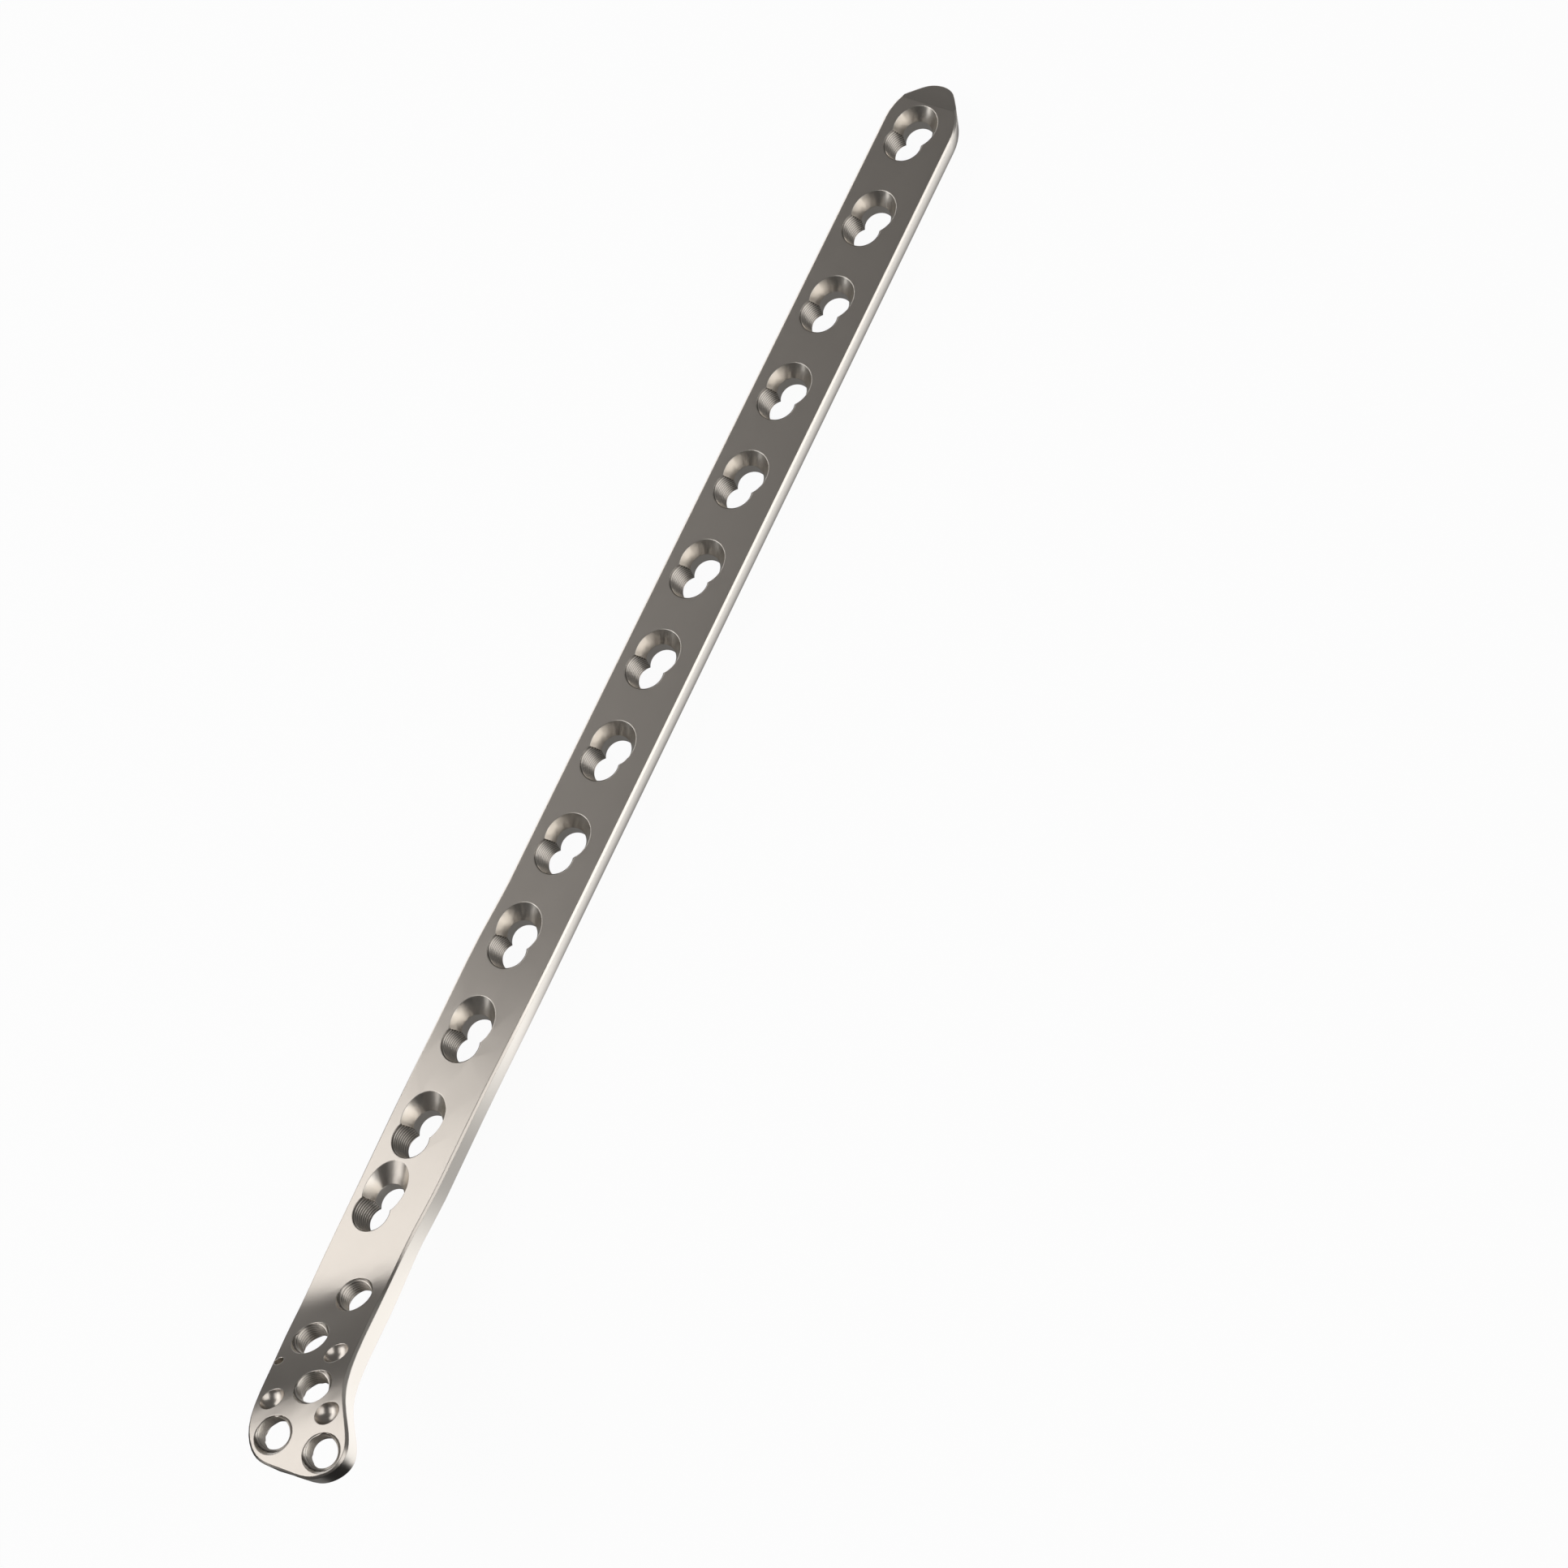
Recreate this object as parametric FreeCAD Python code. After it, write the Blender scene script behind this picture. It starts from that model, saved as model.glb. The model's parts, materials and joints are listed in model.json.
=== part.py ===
"""Locking plate for the inner side of the shin bone's upper end, one piece.

X runs along the shaft from its tip toward the head, Y across it and Z away from the bone.
The origin is on the flat underside of the shaft, on its middle line and just inside the rounded tip.
Sizes are in millimetres and angles in degrees.
"""
import FreeCAD
import Part
import math
import os

V = FreeCAD.Vector

# Body of the plate
thickness = 5.0  # of the shaft
head_thickness = 4.4
thinning_start = 165.0
thinning_end = 245.0
shaft_width = 14.18
side_lean = 0.75  # each side wall leans in by this much at the shaft's underside
edge_bevel = 0.45
under_bevel = 0.3

# Tip of the shaft
tip_nose_radius = 4.1
tip_nose_centre = (-0.6, -0.3)
tip_shoulder_radius = 11.0
tip_taper = 33.0  # between the taper and the shaft's side
tip_facet_length = 5.6
tip_facet_drop = 2.6

# Bends, all about parallel lines turned in plan from straight across
bend_turn = 34.0
first_bend_start = 130.8
first_bend_end = 190.1
first_bend_slope = 8.2
ramp_start = 199.8
ramp_end = 212.3
ramp_slope = 34.2
head_bend_end = 229.5
head_slope = 4.6

# Twist about the shaft's middle line
twist_start = 165.0
twist_end = 229.0
twist_slope = 0.155

# Outline of the wider end: distance along, then shift from the shaft's left or right side
outline_start = 150.0
left_edge = [(163.8, -0.06), (170.3, -0.4), (183.8, -0.4), (200.8, -0.17), (215.8, 0.45), (226.8, 1.1),
             (235.8, 1.95), (242.8, 3.6), (250.8, 6.75), (257.8, 9.6), (261.7, 11.7)]
right_edge = [(257.2, 16.4), (253.3, 13.2), (249.3, 9.75), (244.8, 7.4), (238.8, 5.1), (232.3, 2.95),
              (225.8, 1.75), (215.8, 1.45), (206.8, 0.95), (195.8, 0.42), (180.8, 0.17), (165.8, 0.02)]
# End of the head: distance along, then distance from the middle line
head_end = [(264.7, 7.7), (265.65, 11.3), (265.25, 16.5), (264.7, 20.3), (263.0, 23.0), (260.1, 24.3)]

# Combination holes, placed by the axis of their threaded part
first_combi = 9.65
combi_pitch = 18.0
combi_count = 9  # evenly spaced along the straight shaft
combi_side = -1.276  # threaded parts sit to one side of the middle
# In the neck: distance along, distance from the middle, and how much longer the slot's rim is
neck_combis = [(171.7, -1.33, 0.5), (189.55, -1.15, 0.55), (207.65, -1.12, 0.6), (221.4, -1.1, 1.4)]
combi_turn = -10.9  # a hole's length against the shaft's
neck_turn = -2.0
thread_top_radius = 3.6  # at the roots of the thread, as below
thread_bottom_radius = 2.7
slot_half_length = 4.51
slot_half_width = 3.93
slot_offset = 3.83  # from the threaded axis to the middle of the slot's rim
seat_depth = 2.48
seat_radius = 2.7
seat_offset = 3.66

# Round threaded holes of the head: place on the outer face, then how far the axis leans per unit of height
head_holes = [(234.95, 4.48, -0.15, -0.08), (244.27, 2.65, -0.2, -0.05), (251.39, 10.54, -0.2, 0.06),
              (260.67, 9.44, 0.01, 0.13), (260.21, 19.61, 0.03, 0.14)]
sink_radius = 3.3
sink_depth = 1.6
head_bore_radius = 2.8  # at the roots of its thread

# Locating dimples and the wire hole
dimples = [(245.2, 10.4), (255.95, 5.3), (254.45, 16.9)]
dimple_radius = 2.2
dimple_rise = 0.5  # the ball's centre lies this far above the face
wire_hole = (250.0, 0.85)
wire_hole_radius = 0.85

# Working allowances
reach = 1.5  # cutting walls run past the faces by this much
over = 0.4  # hole tools run past the faces by this much
lean_over = 2.6  # and leaning ones by this much
slab_start = 117.0  # where the bent sheet takes over from the flat one, along the bends' direction
slab_sides = (-12.0, 30.0)
slab_margin = 10.0
slab_row = 10.5
coarse_step = 5.0
fine_step = 4.0
outline_step = 6.0

half_width = shaft_width / 2
wall_slope = side_lean / thickness
turned = math.radians(bend_turn)


def eased(x, start, end):
    """Zero before the start and one past the end, with a smooth rise between."""
    t = min(1.0, max(0.0, (x - start) / (end - start)))
    return t * t * (3 - 2 * t)


def local_thickness(x):
    return thickness - (thickness - head_thickness) * eased(x, thinning_start, thinning_end)


def bend_height(u):
    """Height at distance u square to the bend lines: flat, arc, arc, ramp, arc, flat."""
    stations = [first_bend_start, first_bend_end, ramp_start, ramp_end, head_bend_end]
    angles = [math.radians(a) for a in (0.0, first_bend_slope, ramp_slope, ramp_slope, head_slope)]
    height = 0.0
    for u0, u1, a0, a1 in zip(stations, stations[1:], angles, angles[1:]):
        if u <= u0:
            return height
        end = min(u, u1)
        if a0 == a1:
            height += (end - u0) * math.tan(a0)
        else:
            radius = (u1 - u0) / (math.sin(a1) - math.sin(a0))
            a = math.asin(math.sin(a0) + (end - u0) / radius)
            height += radius * (math.cos(a0) - math.cos(a))
    return height + max(0.0, u - stations[-1]) * math.tan(angles[-1])


def face_height(x, y):
    """Height of the outer face: the bends, and a twist that grows in smoothly along the shaft."""
    height = bend_height(x * math.cos(turned) + y * math.sin(turned))
    return thickness + height + twist_slope * y * eased(x, twist_start, twist_end)


def face_normal(x, y):
    d = 0.05
    along = (face_height(x + d, y) - face_height(x - d, y)) / (2 * d)
    across = (face_height(x, y + d) - face_height(x, y - d)) / (2 * d)
    return V(-along, -across, 1.0).normalize()


def face_point(x, y, depth=0.0):
    return V(x, y, face_height(x, y)) - face_normal(x, y) * depth


def local_frame(x, y, z, turn=0.0):
    """Placement on the outer face: Z along a given direction, and X toward the head before the turn."""
    ahead = V(1, 0, 0) - z * z.x
    rotation = FreeCAD.Rotation(ahead, V(0, 0, 0), z, "ZXY")
    return FreeCAD.Placement(face_point(x, y), rotation.multiply(FreeCAD.Rotation(V(0, 0, 1), turn)))


def spaced(start, end, step):
    count = max(1, round(abs(end - start) / step))
    return [start + (end - start) * i / count for i in range(count + 1)]


def arc_points(centre, radius, a0, a1, count):
    angles = [math.radians(a0 + (a1 - a0) * i / count) for i in range(count + 1)]
    return [(centre[0] + radius * math.cos(a), centre[1] + radius * math.sin(a)) for a in angles]


def tip_outline():
    """Where the straight sides end, and points round the nose: shoulder arc, taper and nose arc, twice."""
    taper = math.radians(tip_taper)
    starts, halves = [], []
    for side in (1, -1):
        centre = (tip_nose_centre[0], side * tip_nose_centre[1])
        touch = (centre[0] - tip_nose_radius * math.sin(taper), centre[1] + tip_nose_radius * math.cos(taper))
        corner = touch[0] + (half_width - touch[1]) / math.tan(taper)
        start = corner + tip_shoulder_radius * math.tan(taper / 2)
        shoulder = (start, half_width - tip_shoulder_radius)
        half = arc_points(shoulder, tip_shoulder_radius, 90, 90 + tip_taper, 5)
        half += arc_points(centre, tip_nose_radius, 90 + tip_taper, 180, 7)
        starts.append(start)
        halves.append([(x, side * y) for x, y in half])
    return starts, halves[0] + halves[1][-2::-1]


def head_outline():
    """Points of the wider end from the left side of the shaft round to the right."""
    points = [(outline_start, -half_width)] + [(x, shift - half_width) for x, shift in left_edge]
    points += head_end + [(x, shift + half_width) for x, shift in right_edge] + [(outline_start, half_width)]
    curve = Part.BSplineCurve()
    curve.interpolate([V(x, y, 0) for x, y in points], InitialTangent=V(1, 0, 0), FinalTangent=V(-1, 0, 0))
    return [(p.x, p.y) for p in curve.discretize(round(curve.length() / outline_step) + 1)]


def rim_curve(points, inset, rise, ends, under):
    """A run of the outline moved inward and up along the normal, from the face or from the underside."""
    moved = []
    last = len(points) - 1
    for i, (x, y) in enumerate(points):
        before, after = points[max(0, i - 1)], points[min(last, i + 1)]
        along = {0: ends[0], last: ends[1]}.get(i, V(after[0] - before[0], after[1] - before[1], 0))
        n = face_normal(x, y)
        depth = local_thickness(x) if under else 0.0
        inward = n.cross(along).normalize() * (inset + wall_slope * depth)
        moved.append(face_point(x, y, depth - rise) + inward)
    if last == 1:
        return Part.LineSegment(moved[0], moved[1]).toShape()
    curve = Part.BSplineCurve()
    curve.interpolate(moved)
    return curve.toShape()


def ring(upper, lower, under=False):
    """Closed ruled wall round the whole outline between two pairs of inset and rise."""
    starts, nose = tip_outline()
    forward, back = V(1, 0, 0), V(-1, 0, 0)
    left = [(starts[1], -half_width), (outline_start, -half_width)]
    right = [(outline_start, half_width), (starts[0], half_width)]
    runs = [(nose, (back, forward)), (left, (forward, forward)), (head_outline(), (forward, back)),
            (right, (back, back))]
    faces = [Part.makeRuledSurface(*[rim_curve(points, *edge, ends, under) for edge in (upper, lower)])
             for points, ends in runs]
    wall = Part.makeCompound(faces)
    wall.sewShape()
    return Part.Shell(wall.Faces)


def slab_point(u, y):
    return (u - y * math.sin(turned)) / math.cos(turned), y


def flat_slab():
    """Sheet of the plate's thickness under the straight shaft, its end cut along a bend line."""
    back = -tip_nose_radius - slab_margin
    left, right = slab_sides
    corners = [(back, left), slab_point(slab_start, left), slab_point(slab_start, right), (back, right)]
    outline = [V(x, y, 0) for x, y in corners]
    return Part.Face(Part.makePolygon(outline + outline[:1])).extrude(V(0, 0, thickness))


def bent_slab():
    """Sheet that follows the bends and the twist and grows thinner toward the head."""
    finer = first_bend_end - slab_margin
    rows = spaced(slab_start, finer, coarse_step) + spaced(finer, head_bend_end + slab_margin, fine_step)[1:]
    columns = spaced(slab_sides[0], slab_sides[1], slab_row)

    def sheet(share):
        grid = [[slab_point(u, y) for y in columns] for u in rows]
        surface = Part.BSplineSurface()
        surface.interpolate([[face_point(x, y, share * local_thickness(x)) for x, y in row] for row in grid])
        return surface

    top, low = sheet(0.0), sheet(1.0)
    u0, u1, v0, v1 = top.bounds()
    lu0, lu1, lv0, lv1 = low.bounds()
    pairs = [(top.uIso(u0), low.uIso(lu0)), (top.uIso(u1), low.uIso(lu1)),
             (top.vIso(v0), low.vIso(lv0)), (top.vIso(v1), low.vIso(lv1))]
    faces = [top.toShape(), low.toShape()]
    faces += [Part.makeRuledSurface(a.toShape(), b.toShape()) for a, b in pairs]
    shell = Part.makeCompound(faces)
    shell.sewShape()
    return Part.Solid(Part.Shell(shell.Faces))


def keep_inside(solid, wall):
    """The part of a solid that the closed wall encloses."""
    inner = V(first_combi + combi_pitch / 2, combi_side, thickness / 2)
    pieces = solid.generalFuse([wall])[0].Solids
    return next(piece for piece in pieces if piece.isInside(inner, 1e-6, False))


def tip_wedge():
    """What the sloping facet takes off the tip."""
    end = tip_nose_centre[0] - tip_nose_radius
    tip, edge = end - reach, end + tip_facet_length
    drop = tip_facet_drop * (tip_facet_length + reach) / tip_facet_length
    corners = [V(edge, 0, thickness), V(edge, 0, thickness + reach), V(tip, 0, thickness + reach),
               V(tip, 0, thickness - drop)]
    side = V(0, half_width + reach, 0)
    wedge = Part.Face(Part.makePolygon(corners + corners[:1])).extrude(side * 2)
    wedge.translate(side * -1)
    return wedge


def blank():
    """Plate without holes: the sheet cut to its outline, with leaning sides and bevelled edges."""
    low = thickness + reach
    body = flat_slab().fuse(bent_slab())
    body = keep_inside(body, ring((-reach * wall_slope, reach), (low * wall_slope, -low)))
    body = keep_inside(body, ring((2 * edge_bevel, edge_bevel), (-edge_bevel, -2 * edge_bevel)))
    body = keep_inside(body, ring((-under_bevel, 2 * under_bevel), (2 * under_bevel, -under_bevel), True))
    return body.cut(tip_wedge())


def disc(radius, x, z):
    return Part.Wire(Part.makeCircle(radius, V(x, 0, z)))


def oval(half_length, half_breadth, x, z):
    shape = Part.Ellipse(V(0, 0, 0), half_length, half_breadth).toShape()
    shape.translate(V(x, 0, z))
    return Part.Wire(shape)


def cone(r_top, r_low, z_top, z_low):
    """Cone or cylinder with its seam on the side away from the head."""
    if r_top == r_low:
        shape = Part.makeCylinder(r_low, z_top - z_low, V(0, 0, z_low))
    else:
        shape = Part.makeCone(r_low, r_top, z_top - z_low, V(0, 0, z_low))
    shape.rotate(V(0, 0, 0), V(0, 0, 1), 180)
    return shape


def past(r_near, r_end, run, more=over):
    """Radius of a cone taken on past its end at the same slope."""
    return r_end + more * (r_end - r_near) / run


def combi_tool(longer=0.0):
    """Threaded cone joined to the compression slot, which has an oval sunk seat and a straight lower part."""
    middle, half_length = slot_offset + longer / 2, slot_half_length + longer / 2
    thread = cone(past(thread_bottom_radius, thread_top_radius, thickness),
                  past(thread_top_radius, thread_bottom_radius, thickness), over, -thickness - over)
    rim = oval(past(seat_radius, half_length, seat_depth), past(seat_radius, slot_half_width, seat_depth),
               -middle, over)
    seat_end = disc(seat_radius, -seat_offset, -seat_depth)
    seat = Part.makeLoft([rim, seat_end], True, True)
    low = cone(seat_radius, seat_radius, -seat_depth, -thickness - over)
    low.translate(V(-seat_offset, 0, 0))
    return thread.multiFuse([seat, low])


def head_hole_tool():
    """Steep countersink and the straight threaded bore below it."""
    rim = past(head_bore_radius, sink_radius, sink_depth, lean_over)
    sink = cone(rim, head_bore_radius, lean_over, -sink_depth)
    return sink.fuse(cone(head_bore_radius, head_bore_radius, -sink_depth, -thickness - lean_over))


def placed(tool, x, y, turn=0.0, axis=None):
    tool = tool.copy()
    tool.Placement = local_frame(x, y, axis or face_normal(x, y), turn).multiply(tool.Placement)
    return tool


def plate():
    combi, round_hole = combi_tool(), head_hole_tool()
    ball = Part.makeSphere(dimple_radius)
    ball.rotate(V(0, 0, 0), V(0, 1, 0), -90)
    ball.translate(V(0, 0, dimple_rise))
    wire = cone(wire_hole_radius, wire_hole_radius, over, -thickness - over)
    tools = [placed(combi, first_combi + combi_pitch * i, combi_side, combi_turn) for i in range(combi_count)]
    tools += [placed(combi_tool(longer), x, y, neck_turn) for x, y, longer in neck_combis]
    tools += [placed(round_hole, x, y, axis=V(*lean, 1).normalize()) for x, y, *lean in head_holes]
    tools += [placed(ball, x, y) for x, y in dimples] + [placed(wire, *wire_hole)]
    return blank().cut(tools)


def main():
    os.makedirs("parts", exist_ok=True)
    shape = plate()
    solid = shape.Solids[0]
    print("solids", len(shape.Solids), "valid", solid.isValid(), "faces", len(solid.Faces))
    solid.exportStep("parts/bone_plate.step")


main()
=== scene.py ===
import json
import math
import bpy
import numpy as np
from mathutils import Matrix, Vector


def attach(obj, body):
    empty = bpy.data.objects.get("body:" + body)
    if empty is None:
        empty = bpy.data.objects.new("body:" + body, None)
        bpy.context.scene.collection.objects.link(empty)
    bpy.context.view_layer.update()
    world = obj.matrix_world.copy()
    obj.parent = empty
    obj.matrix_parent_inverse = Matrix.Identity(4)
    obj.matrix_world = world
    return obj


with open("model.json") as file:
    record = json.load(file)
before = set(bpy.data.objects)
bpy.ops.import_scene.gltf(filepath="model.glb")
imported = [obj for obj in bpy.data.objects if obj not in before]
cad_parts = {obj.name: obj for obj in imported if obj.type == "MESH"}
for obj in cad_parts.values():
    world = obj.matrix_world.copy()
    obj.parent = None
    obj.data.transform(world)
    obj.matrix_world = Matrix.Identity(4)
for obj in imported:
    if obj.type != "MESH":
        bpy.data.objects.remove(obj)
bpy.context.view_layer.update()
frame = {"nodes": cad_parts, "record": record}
plateNode = frame["nodes"]["bone_plate"]
mounts = {mount["name"]: mount for mount in frame["record"]["mounts"]}
print("frame loaded:", len(mounts), "mounts")


# Shader maths: a Wire wraps one socket, and arithmetic on wires adds Math nodes.
class Wire:
    def __init__(self, tree, socket=None):
        self.tree = tree
        self.socket = socket

    # One node: its type, its settings, then values or wires for its sockets. It gives the socket numbered out.
    def node(self, kind, settings=None, inputs=None, out=0):
        made = self.tree.nodes.new(kind)
        for key, value in (settings or {}).items():
            setattr(made, key, value)
        for key, value in (inputs or {}).items():
            if isinstance(value, Wire):
                self.tree.links.new(value.socket, made.inputs[key])
            else:
                made.inputs[key].default_value = value
        return None if out is None else Wire(self.tree, made.outputs[out])

    def maths(self, operation, *values):
        return self.node("ShaderNodeMath", {"operation": operation}, dict(enumerate(values)))

    def __add__(self, other):
        return self.maths("ADD", self, other)

    def __sub__(self, other):
        return self.maths("SUBTRACT", self, other)

    def __rsub__(self, other):
        return self.maths("SUBTRACT", other, self)

    def __mul__(self, other):
        return self.maths("MULTIPLY", self, other)

    __radd__ = __add__
    __rmul__ = __mul__

    # 0 below low, 1 above high, smooth between
    def step(self, low, high):
        return self.node("ShaderNodeMapRange", {"interpolation_type": "SMOOTHSTEP"},
                         {"Value": self, "From Min": low, "From Max": high})

    # 0 is x, 1 is y, 2 is z
    def part(self, number):
        return self.node("ShaderNodeSeparateXYZ", {}, {0: self}, out=number)

    # from the first of two shaders to the second
    def mix(self, factor, first, second):
        return self.node("ShaderNodeMixShader", {}, {0: factor, 1: first, 2: second})

    # from the first of two colours to the second
    def blend(self, factor, first, second):
        return self.node("ShaderNodeMix", {"data_type": "RGBA"},
                         {"Factor": factor, "A": first, "B": second}, out=2)


def newMaterial(name):
    material = bpy.data.materials.new(name)
    material.use_nodes = True
    material.node_tree.nodes.clear()
    return material, Wire(material.node_tree)


# The outer face as the CAD bends it, in metres and degrees
plateFace = {
    "shaftThickness": 0.005,
    "headThickness": 0.0044,
    "thinning": (0.165, 0.245),  # along X, from the shaft's thickness to the head's
    "turn": 34.0,  # of the bend lines, from straight across
    "stations": (0.1308, 0.1901, 0.1998, 0.2123, 0.2295),  # square to the bend lines
    "angles": (0.0, 8.2, 34.2, 34.2, 4.6),  # slope at each station
    "twist": (0.165, 0.229),
    "twistSlope": 0.155,
}


# 0 before the span, 1 after it, smooth between
def eased(x, span):
    t = np.clip((x - span[0]) / (span[1] - span[0]), 0, 1)
    return t * t * (3 - 2 * t)


# Height over u, square to the bend lines: on an arc sin(angle) grows evenly with u, on a ramp it stays.
def bendHeight(u):
    stations, angles = plateFace["stations"], np.radians(plateFace["angles"])
    height = np.maximum(u - stations[-1], 0) * math.tan(angles[-1])
    for u0, u1, a0, a1 in zip(stations, stations[1:], angles, angles[1:]):
        run = np.clip(u - u0, 0, u1 - u0)
        if a0 == a1:
            height = height + run * math.tan(a0)
        else:
            radius = (u1 - u0) / (math.sin(a1) - math.sin(a0))
            height = height + radius * (math.cos(a0) - np.cos(np.arcsin(math.sin(a0) + run / radius)))
    return height


def faceHeight(x, y):
    turn = math.radians(plateFace["turn"])
    twist = plateFace["twistSlope"] * y * eased(x, plateFace["twist"])
    return plateFace["shaftThickness"] + bendHeight(x * math.cos(turn) + y * math.sin(turn)) + twist


def faceNormal(x, y):
    d = 0.00005
    along = (faceHeight(x + d, y) - faceHeight(x - d, y)) / (2 * d)
    across = (faceHeight(x, y + d) - faceHeight(x, y - d)) / (2 * d)
    normal = np.stack([-along, -across, np.ones_like(along)], -1)
    return normal / np.linalg.norm(normal, axis=-1, keepdims=True)


# How deep points lie under the outer face, square to it, and how thick the plate is there.
# The foot of each point on the face is found in a few rounds.
def depthBelow(points):
    foot = points[..., :2]
    for _ in range(5):
        normal = faceNormal(foot[..., 0], foot[..., 1])
        gap = np.concatenate([foot, faceHeight(foot[..., 0], foot[..., 1])[..., None]], -1) - points
        depth = (gap * normal).sum(-1)
        foot = points[..., :2] + normal[..., :2] * depth[..., None]
    thick, thin = plateFace["shaftThickness"], plateFace["headThickness"]
    return depth, thick - (thick - thin) * eased(foot[..., 0], plateFace["thinning"])


titanium = {
    "faceColour": (0.585, 0.538, 0.487, 1.0),
    "wallColour": (0.790, 0.745, 0.685, 1.0),
    # painted shade in the thread roots
    "rootColour": (0.160, 0.143, 0.125, 1.0),
    "rootEnd": 0.85,  # share of a ridge's height at which the painted root shade has gone
    "faceRoughness": 0.315,
    "wallRoughness": 0.28,
    "dimpleRoughness": 0.29,
    "level": (0.72, 0.77),  # upright share of the normal: below is a wall or bevel, above is a face
    "edgeRadius": 0.0002,  # sharp edges are broken by this much
    "grainSize": 0.00013,  # metres
    "grainDepth": 0.000008,
    "grainStrength": 0.6,
    "grainRoughness": 0.12,
    "mottleSize": 0.004,
    "mottleRoughness": 0.02,
}
dimple = {
    "places": ((0.2452, 0.0104), (0.25595, 0.0053), (0.25445, 0.0169)),
    "reach": 0.00223,
    "rim": 0.00001,  # half width of the change at its edge
    "rise": 0.0005,  # of the ball's centre over the face
}


# 1 inside a ball about one dimple, 0 outside
def inDimple(wire, place, x, y):
    ball = np.array([x, y, faceHeight(x, y)]) + faceNormal(x, y) * dimple["rise"]
    away = wire.node("ShaderNodeVectorMath", {"operation": "DISTANCE"}, {0: place, 1: tuple(ball)}, out=1)
    return 1 - away.step(dimple["reach"] - dimple["rim"], dimple["reach"] + dimple["rim"])


# Titanium: the faces blasted to a fine satin grain, the cut walls and bevels brighter and smoother, and the
# dimples as dark as the face but smooth. Threads get painted shade, darker toward their roots.
def titaniumMaterial(name, threaded=False):
    material, wire = newMaterial(name)
    place = wire.node("ShaderNodeTexCoord", out=3)
    grain = wire.node("ShaderNodeTexNoise", {},
                      {"Vector": place, "Scale": 1 / titanium["grainSize"], "Detail": 2.0})
    mottle = wire.node("ShaderNodeTexNoise", {},
                       {"Vector": place, "Scale": 1 / titanium["mottleSize"], "Detail": 3.0})
    upright = wire.maths("ABSOLUTE", wire.node("ShaderNodeNewGeometry", out=1).part(2))
    dimples = sum(inDimple(wire, place, np.array(x), np.array(y)) for x, y in dimple["places"])
    facing = upright.step(*titanium["level"]) * (1 - dimples)
    wall = titanium["wallRoughness"]
    rough = wall + facing * (titanium["faceRoughness"] - wall) + dimples * (titanium["dimpleRoughness"] - wall)
    uneven = (grain - 0.5) * titanium["grainRoughness"] + (mottle - 0.5) * titanium["mottleRoughness"]
    shade = wire.blend(facing + dimples, titanium["wallColour"], titanium["faceColour"])
    edges = {}
    if threaded:
        # painted shade: the colour grows darker toward the thread roots
        ridge = wire.node("ShaderNodeAttribute", {"attribute_name": "ridge"}, out=2)
        shade = wire.blend(ridge.step(0.0, titanium["rootEnd"]), titanium["rootColour"], shade)
    else:
        edges["Normal"] = wire.node("ShaderNodeBevel", {"samples": 6}, {"Radius": titanium["edgeRadius"]})
    bump = wire.node("ShaderNodeBump", {}, {"Height": grain, "Strength": facing * titanium["grainStrength"],
                                            "Distance": titanium["grainDepth"], **edges})
    shader = wire.node("ShaderNodeBsdfPrincipled", {}, {"Base Color": shade, "Metallic": 1.0,
                                                        "Roughness": rough + facing * uneven, "Normal": bump})
    wire.node("ShaderNodeOutputMaterial", {}, {"Surface": shader}, out=None)
    return material


satinTitanium = titaniumMaterial("satinTitanium")
threadTitanium = titaniumMaterial("threadTitanium", threaded=True)
plateNode.data.materials.clear()
plateNode.data.materials.append(satinTitanium)
print("titanium on the plate")


# Metres, and degrees for turns about a hole's axis
combiThread = {
    "pitch": 0.0005,
    "ridge": 0.00028,
    "wall": ((0.0036, 0.18),),  # radius of the roots at the face, and radius lost per depth
    "start": 0.0,
    "rise": 0.82,  # height that the ridges gain per depth below their start
    "runOut": 0.0002,
    "grid": (96, 112),  # columns round the hole, rows down it
    "turn": -10.9,  # on the shaft
    "neckTurn": -2.0,
    "neckFrom": 10,
    "longer": (0.0005, 0.00055, 0.0006, 0.0014),  # that the neck's slots have more at the face
    "slotRim": (0.00451, 0.00393, 0.00383),  # half length, half width, distance from the thread's axis
    "slotSeat": (0.0027, 0.0027, 0.00366),
    "seatDepth": 0.00248,
}
headThread = {
    "pitch": 0.0007,
    "ridge": 0.0003,
    "wall": ((0.0028, 0.0), (0.0033, 0.3125)),  # the bore, and the countersink above it
    "start": 0.0005,
    "rise": 0.7,
    "runOut": 0.00035,
    "grid": (128, 220),
}
threadBack = 0.00012  # how far a thread's back lies inside the metal
threadMargin = 0.00002  # kept inside the plate's faces


# Frame of a hole: where its axis leaves the face, then rows for along, across and out along the axis.
def holeFrame(mount, turn=0.0):
    out = Vector(mount["axis"]).normalized()
    along = (Vector((1, 0, 0)) - out * out.x).normalized()
    along = Matrix.Rotation(math.radians(turn), 3, out) @ along
    centre = np.array(mount["pos_m"])
    for _ in range(6):
        centre = centre + np.array(out) * depthBelow(centre)[0]
    return centre, np.array([along, out.cross(along), out])


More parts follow.
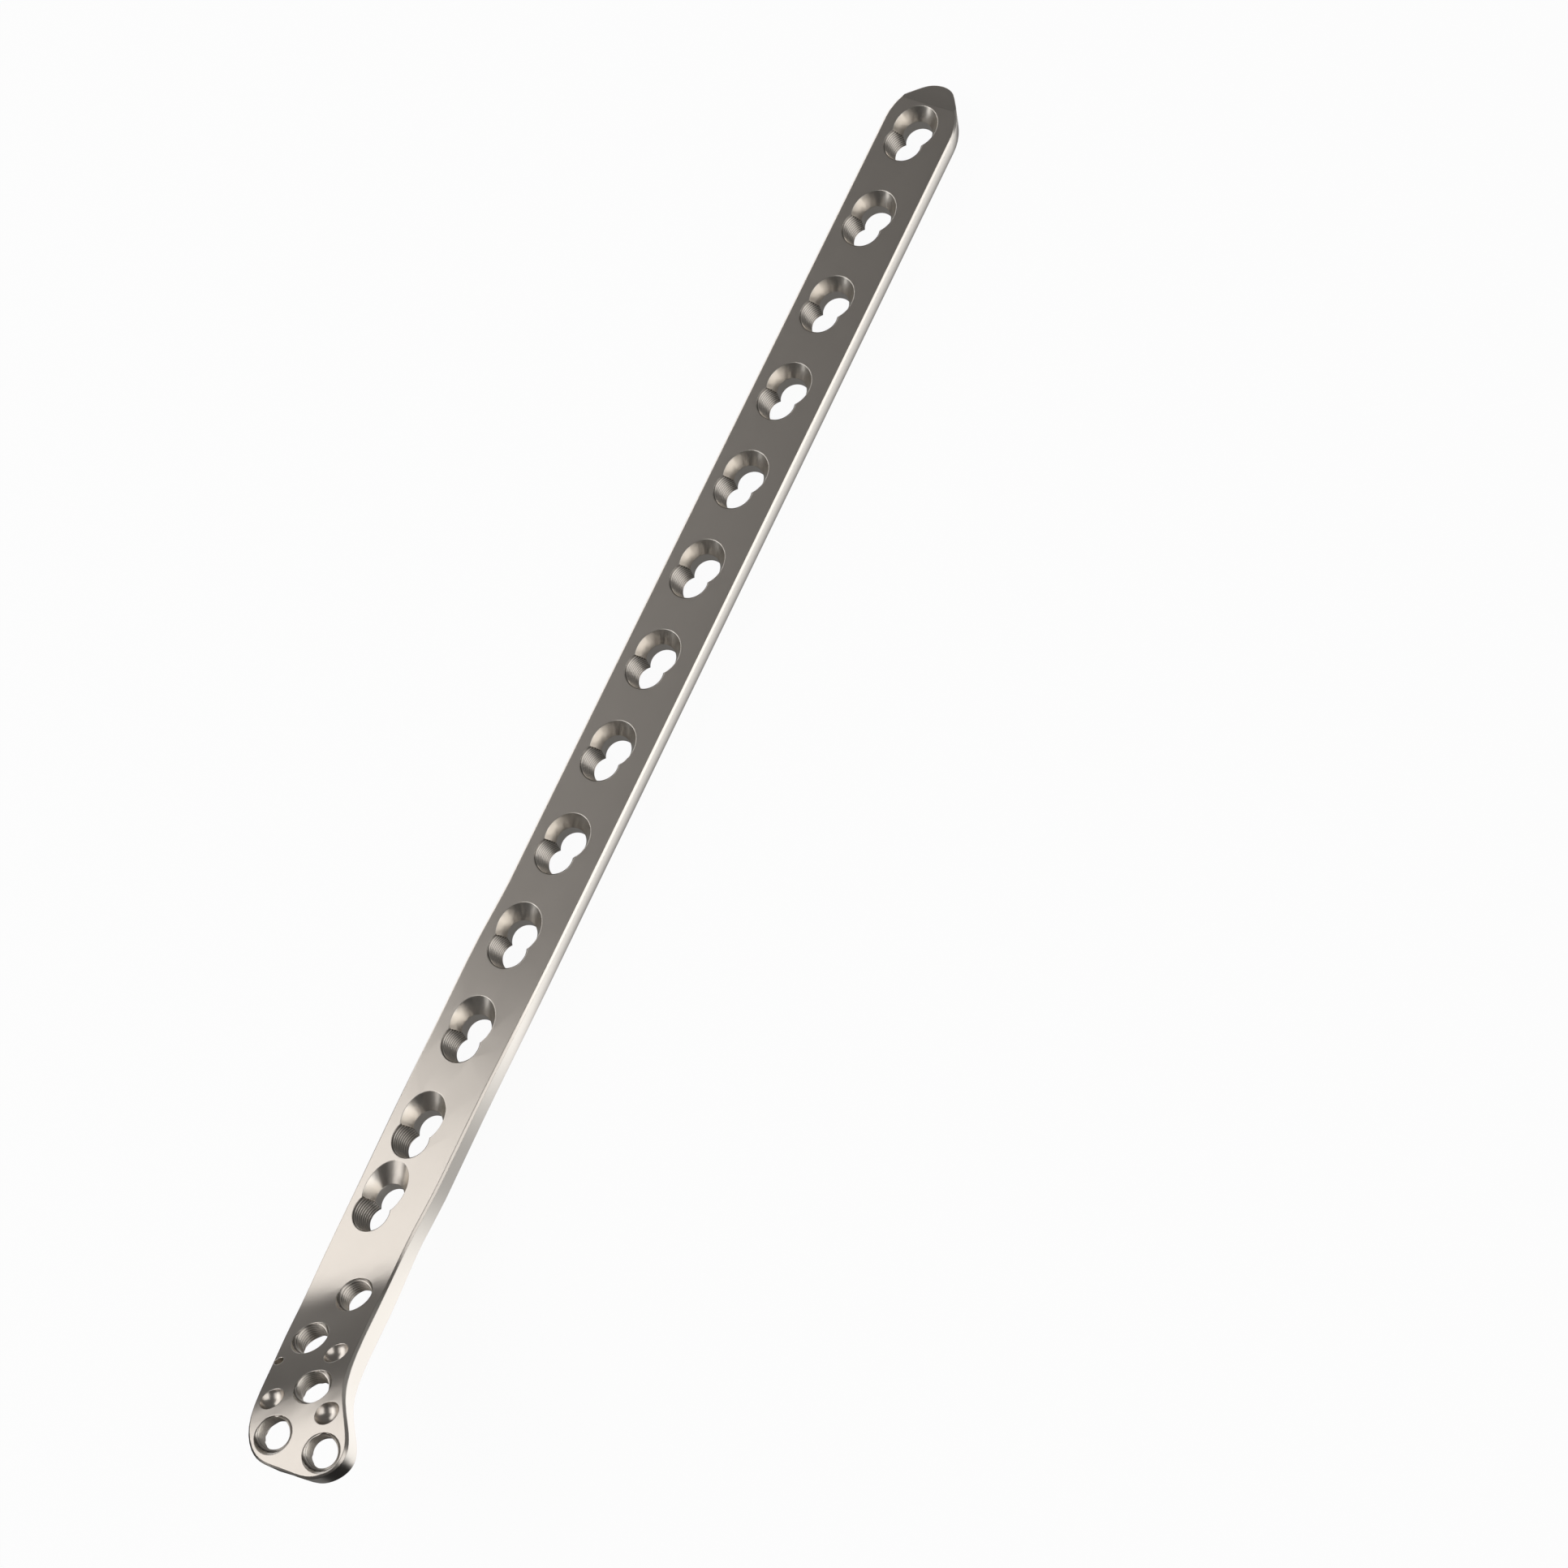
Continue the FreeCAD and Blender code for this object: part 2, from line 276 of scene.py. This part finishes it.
# Angle where a circle of radius r about the thread's axis meets the slot's oval at depth s.
# The oval has half length a, half width b and its middle at -o, so x solves
# (x + o)^2 / a^2 + (r^2 - x^2) / b^2 = 1. Where the oval is round, that is p = 0 and x = -k / q.
def slotAngle(s, r, longer):
    low = np.clip(s / combiThread["seatDepth"], 0, 1)
    length, width, offset = combiThread["slotRim"]
    rim = (length + longer / 2, width, offset + longer / 2)
    a, b, o = [top + (seat - top) * low for top, seat in zip(rim, combiThread["slotSeat"])]
    p = 1 / a ** 2 - 1 / b ** 2
    q = 2 * o / a ** 2
    k = o ** 2 / a ** 2 + r ** 2 / b ** 2 - 1
    isRound = np.abs(p) < 1.0
    safe = np.where(isRound, 1.0, p)
    x = np.where(isRound, -k / q, (-q + np.sqrt(np.maximum(q * q - 4 * safe * k, 0))) / (2 * safe))
    return np.arccos(np.clip(x / r, -1, 1))


# Ridge height from 0 to 1 at a phase of the thread: narrow root, flank, narrow crest, flank. The flank is a
# straight slope, with a part of it eased into root and crest.
def ridgeShape(phase):
    flank, root, softness = 0.40, 0.1, 0.35
    p = phase - np.floor(phase)
    rise = np.clip((0.5 - np.abs(p - 0.5)) / flank - root, 0, 1)
    return eased(rise, (0, 1)) * softness + rise * (1 - softness)


# A thread as a closed band with depth s and angle t: its front follows
# r = root(s) - min(ridge * shape(s / pitch + t / 2 pi), rise * (s - start)), where root(s) is the widest of the
# hole's cones radius - taper * s. A plain back closes it inside the metal. With longer, the band stops where
# it meets the slot beside it, and the slot is that much longer at the face. Without, it goes all the way round.
def threadMesh(name, spec, centre, axes, longer=None):
    joined = longer is None
    columns, rows = spec["grid"]
    share = np.linspace(0, 1, columns + (0 if joined else 1), endpoint=not joined)[None, :]
    down = np.linspace(0, 1, rows)[:, None]

    def root(s):
        return np.maximum.reduce([radius - taper * s for radius, taper in spec["wall"]])

    def place(t, s, r):
        return np.stack([r * np.cos(t), r * np.sin(t), -s + 0 * t], -1) @ axes + centre

    # how far the ridges stand in from the roots; they run out just above the underside
    def ridge(t, s, bottom):
        height = spec["ridge"] * ridgeShape(s / spec["pitch"] + t / (2 * math.pi))
        height = height * np.clip((bottom - s) / spec["runOut"], 0, 1)
        return np.minimum(height, spec["rise"] * np.maximum(s - spec["start"], 0))

    # depth where the wall meets the outer face (side 0) or the underside (side 1)
    def meets(t, side):
        s = plateFace["shaftThickness"] * side + 0 * t
        for _ in range(8):
            depth, thick = depthBelow(place(t, s, root(s)))
            s = s + (thick * side + threadMargin * (1 - 2 * side) - depth)
        return s

    # where the band starts and ends round the hole, and its depths there, settle in a few rounds
    firstGuess = 2.2
    t = share * 2 * math.pi if joined else (2 * share - 1) * firstGuess
    for _ in range(4):
        top, bottom = np.maximum(meets(t[:1], 0), spec["start"]), meets(t[-1:], 1)
        s = top + (bottom - top) * down
        if not joined:
            low, high = [slotAngle(s, root(s) - ridge(end, s, bottom), longer) for end in (t[:, :1], t[:, -1:])]
            t = -low[:, :1] + (low[:, :1] + high[:, -1:]) * share
    t = t + 0 * s
    backS = np.vstack([s[-1:], s[:1] + threadBack])
    if joined:
        backT = t[:2]
    else:
        edge = slotAngle(backS, root(backS) + threadBack, longer)
        backT = -edge + 2 * edge * share
    allT = np.vstack([t, backT])
    allS = np.vstack([s, backS])
    allRidge = np.vstack([ridge(t, s, bottom), 0 * backS - threadBack])
    allR = root(allS) + threadMargin / 2 - allRidge
    points = place(allT, allS, allR).reshape(-1, 3)
    n, m = allT.shape
    i, j = np.meshgrid(np.arange(n), np.arange(m if joined else m - 1), indexing="ij")
    i2, j2 = (i + 1) % n, (j + 1) % m
    faces = np.stack([i * m + j, i * m + j2, i2 * m + j2, i2 * m + j], -1).reshape(-1, 4).tolist()
    if not joined:
        faces += [[k * m for k in range(n)], [k * m + m - 1 for k in reversed(range(n))]]
    mesh = bpy.data.meshes.new(name)
    mesh.from_pydata(points.tolist(), [], faces)
    mesh.attributes.new("ridge", "FLOAT", "POINT").data.foreach_set("value", allRidge.ravel() / spec["ridge"])
    mesh.shade_smooth()
    mesh.set_sharp_from_angle(angle=math.radians(40))
    piece = bpy.data.objects.new(name, mesh)
    bpy.context.scene.collection.objects.link(piece)
    mesh.materials.append(threadTitanium)
    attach(piece, "root")


for name, mount in mounts.items():
    if name.startswith("combi_hole"):
        neck = int(name[-2:]) - combiThread["neckFrom"]
        longer = combiThread["longer"][neck] if neck >= 0 else 0.0
        centre, axes = holeFrame(mount, combiThread["neckTurn" if neck >= 0 else "turn"])
        threadMesh(name.replace("hole", "thread"), combiThread, centre, axes, longer)
    if name.startswith("head_screw_hole"):
        centre, axes = holeFrame(mount)
        threadMesh(name.replace("screw_hole", "thread"), headThread, centre, axes)
print("threads cut")


camera = {
    "place": (0.267898, 0.262361, 0.560097),
    "turn": (21.4878, 14.8893, 115.698),  # degrees about X, Y, Z
    "lens": 84.23,
    "sensor": 36.0,
    "clip": (0.01, 20.0),
}


def addCamera():
    data = bpy.data.cameras.new("camera")
    data.lens, data.sensor_width = camera["lens"], camera["sensor"]
    data.clip_start, data.clip_end = camera["clip"]
    made = bpy.data.objects.new("camera", data)
    made.location = camera["place"]
    made.rotation_euler = [math.radians(a) for a in camera["turn"]]
    bpy.context.scene.collection.objects.link(made)
    bpy.context.scene.camera = made


# Direction from an elevation and an azimuth in degrees, azimuth from +X toward +Y
def direction(elevation, azimuth):
    e, a = math.radians(elevation), math.radians(azimuth)
    return Vector((math.cos(e) * math.cos(a), math.cos(e) * math.sin(a), math.sin(e)))


lamps = {
    "middle": (0.13, 0.0, 0.0),
    "distance": 1.6,
    # elevation, azimuth and roll in degrees, size in metres, radiance
    "wide": (32.5, -75.5, -6.0, (2.80, 1.24), 1.58),
    "side": (33.4, 101.0, 24.0, (1.46, 1.50), 1.45),
    "high": (55.0, -37.0, -28.0, (1.20, 0.87), 1.20),
}


def addLamp(name):
    elevation, azimuth, roll, size, radiance = lamps[name]
    data = bpy.data.lights.new(name, "AREA")
    data.shape = "RECTANGLE"
    data.size, data.size_y = size
    data.energy = radiance * math.pi * size[0] * size[1]
    made = bpy.data.objects.new(name, data)
    towards = direction(elevation, azimuth)
    made.location = Vector(lamps["middle"]) + towards * lamps["distance"]
    rolled = Matrix.Rotation(math.radians(roll), 3, towards) @ towards.to_track_quat("Z", "Y").to_matrix()
    made.rotation_euler = rolled.to_euler()
    bpy.context.scene.collection.objects.link(made)


# The room's dim light, by the height and by the share of a direction that points past the plate's tip (-X)
room = {
    "horizon": 0.05,
    "overhead": 0.12,
    "height": (0.45, 0.95),
    "pastTip": 0.085,  # more light there
    "tipward": (0.55, 0.85),
}


def addWorld():
    world = bpy.data.worlds.new("studio")
    bpy.context.scene.world = world
    world.use_nodes = True
    world.node_tree.nodes.clear()
    wire = Wire(world.node_tree)
    seen = wire.node("ShaderNodeLightPath", out=0)
    towards = wire.node("ShaderNodeTexCoord")
    height, tipward = towards.part(2), 0 - towards.part(0)
    level = room["horizon"] + height.step(*room["height"]) * (room["overhead"] - room["horizon"])
    level = level + tipward.step(*room["tipward"]) * room["pastTip"]
    dim = wire.node("ShaderNodeBackground", {}, {"Color": level})
    white = wire.node("ShaderNodeBackground", {}, {"Color": (1, 1, 1, 1), "Strength": 1.0})
    wire.node("ShaderNodeOutputWorld", {}, {"Surface": wire.mix(seen, dim, white)}, out=None)


# Metres from the plate's middle line, along X for what says so, and shares of white for the shades, which paint
# the floor's reflection
ground = {
    "reach": 1.5,
    "below": 0.0001,
    "colour": (0.9, 0.9, 0.9, 1),
    "glow": 0.95,  # share of plain white that the camera sees; the rest keeps the shadow
    # painted reflection levels: a painted shadow under the plate, a dim far ground, and a painted bright strip
    # beside the plate
    "underShade": 0.16,
    "farShade": 0.02,
    "besideShade": 1.20,
    "neckDrop": 0.70,
    "edge": (0.0060, 0.0085),
    "fade": (0.030, 0.070),
    "tip": 0.004,
    "headShift": 0.0135,  # the middle line moves over toward the head, along X
    "headSpan": (0.230, 0.266),
    "endSpan": (0.250, 0.268),  # along X
    "neckIn": (0.182, 0.206),
    "neckOut": (0.210, 0.228),
}


# The floor is plain and pale to the camera. Mirror-like rays see a painted reflection on it: a dim glowing
# ground with a painted shadow under the plate and a painted bright strip beside the plate, dimmer at the neck:
# across is the distance from the middle line.
def addFloor():
    x, y = lamps["middle"][:2]
    mesh = bpy.data.meshes.new("floor")
    corners = [(x + right * ground["reach"], y + back * ground["reach"], -ground["below"])
               for right, back in ((-1, -1), (1, -1), (1, 1), (-1, 1))]
    mesh.from_pydata(corners, [], [(0, 1, 2, 3)])
    floor = bpy.data.objects.new("floor", mesh)
    bpy.context.scene.collection.objects.link(floor)
    material, wire = newMaterial("paleFloor")
    toCamera = wire.node("ShaderNodeLightPath", out=0)
    glossy = wire.node("ShaderNodeLightPath", out=3)
    place = wire.node("ShaderNodeTexCoord", out=3)
    x, y = place.part(0), place.part(1)
    across = wire.maths("ABSOLUTE", y - x.step(*ground["headSpan"]) * ground["headShift"])
    across = wire.maths("MAXIMUM", across, ground["tip"] - x)
    outside = across.step(*ground["edge"])
    beside = outside * (1 - across.step(*ground["fade"])) * (1 - x.step(*ground["endSpan"]))
    neck = x.step(*ground["neckIn"]) * (1 - x.step(*ground["neckOut"]))
    # painted reflection: painted shadow under the plate, dim far ground, painted bright strip beside, dimmer at
    # the neck
    shade = ground["underShade"] - outside * (ground["underShade"] - ground["farShade"])
    shade = shade + beside * (ground["besideShade"] - neck * ground["neckDrop"])
    diffuse = wire.node("ShaderNodeBsdfDiffuse", {}, {"Color": ground["colour"]})
    white = wire.node("ShaderNodeEmission", {}, {"Color": (1, 1, 1, 1), "Strength": 1.0})
    # glow that paints the floor's reflection for mirror-like rays
    paintedReflection = wire.node("ShaderNodeEmission", {}, {"Color": shade})
    plain = wire.mix(toCamera * ground["glow"], diffuse, white)
    wire.node("ShaderNodeOutputMaterial", {}, {"Surface": wire.mix(glossy, plain, paintedReflection)}, out=None)
    mesh.materials.append(material)


addCamera()
for name in ("wide", "side", "high"):
    addLamp(name)
addWorld()
addFloor()
bpy.context.scene.view_settings.view_transform = "Standard"
print("camera, lamps and floor placed")
